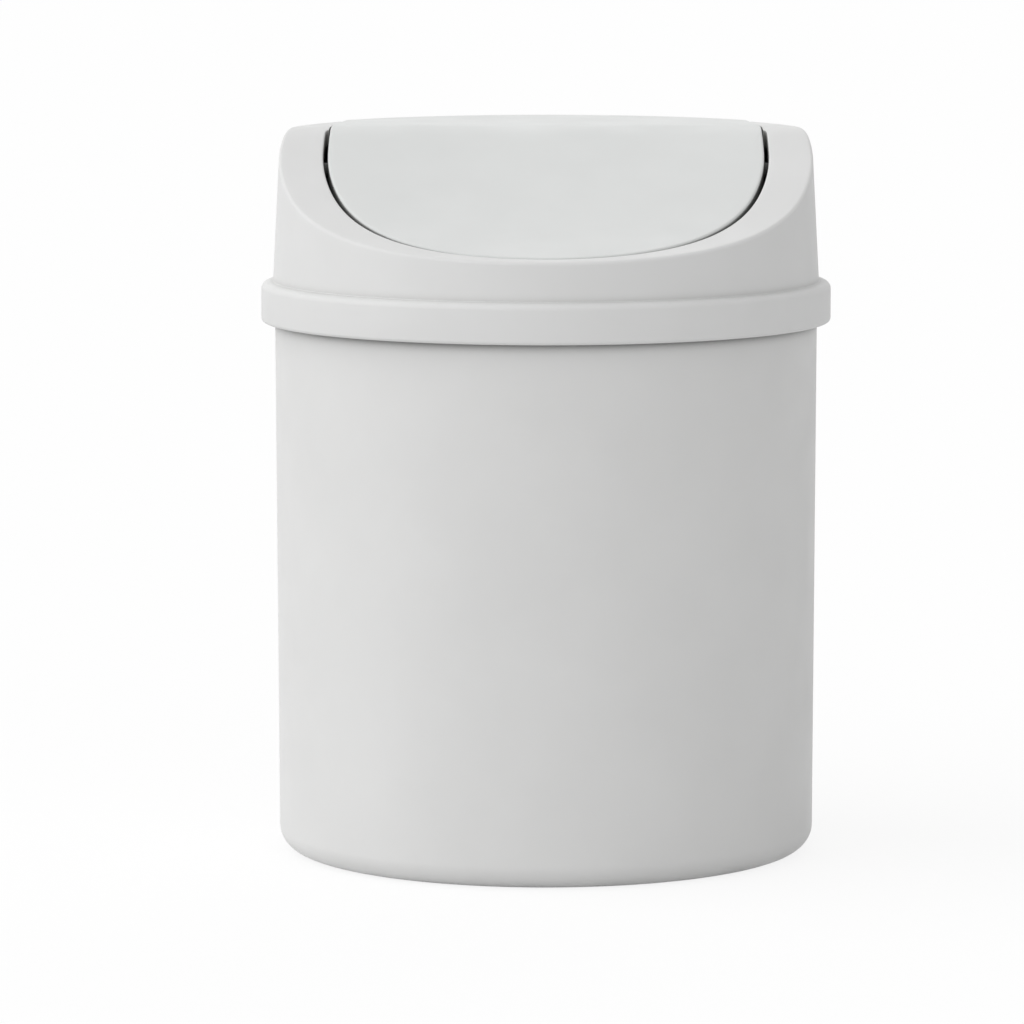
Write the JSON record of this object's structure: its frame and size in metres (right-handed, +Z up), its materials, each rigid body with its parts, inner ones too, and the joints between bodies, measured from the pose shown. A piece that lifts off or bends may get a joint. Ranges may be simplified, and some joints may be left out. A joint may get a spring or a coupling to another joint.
{
  "type": "countertop trash can with swing lid",
  "caption": "Small round countertop trash can: a smooth tub, a lid hood with a scooped front that caps its rim, and a bent flap that swings in the hood.",
  "frame": {"origin": "middle of the foot, on the surface that the bin stands on", "axes": "+Z up along the bin's axis; the scooped front of the lid faces -Y; the flap's hinge line runs along X"},
  "size_m": [0.13, 0.13, 0.165],
  "materials": {
    "bin_plastic": "satin, finely grained moulding",
    "lid_plastic": "satin, finely grained moulding",
    "flap_plastic": "satin, finely grained moulding"
  },
  "bodies": {
    "bin": {"bin_body": "bin_plastic"},
    "hood": {"lid_hood": "lid_plastic"},
    "flap": {"swing_flap": "flap_plastic"}
  },
  "joints": [
    {"name": "lid_lift", "type": "slide", "parent": "bin", "child": "hood", "axis": [0, 0, 1], "range_m": [0, 0.05]},
    {"name": "flap_swing", "type": "hinge", "parent": "hood", "child": "flap", "pos_m": [0, -0.0005, 0.15565], "axis": [1, 0, 0], "range_deg": [0, 60]}
  ]
}
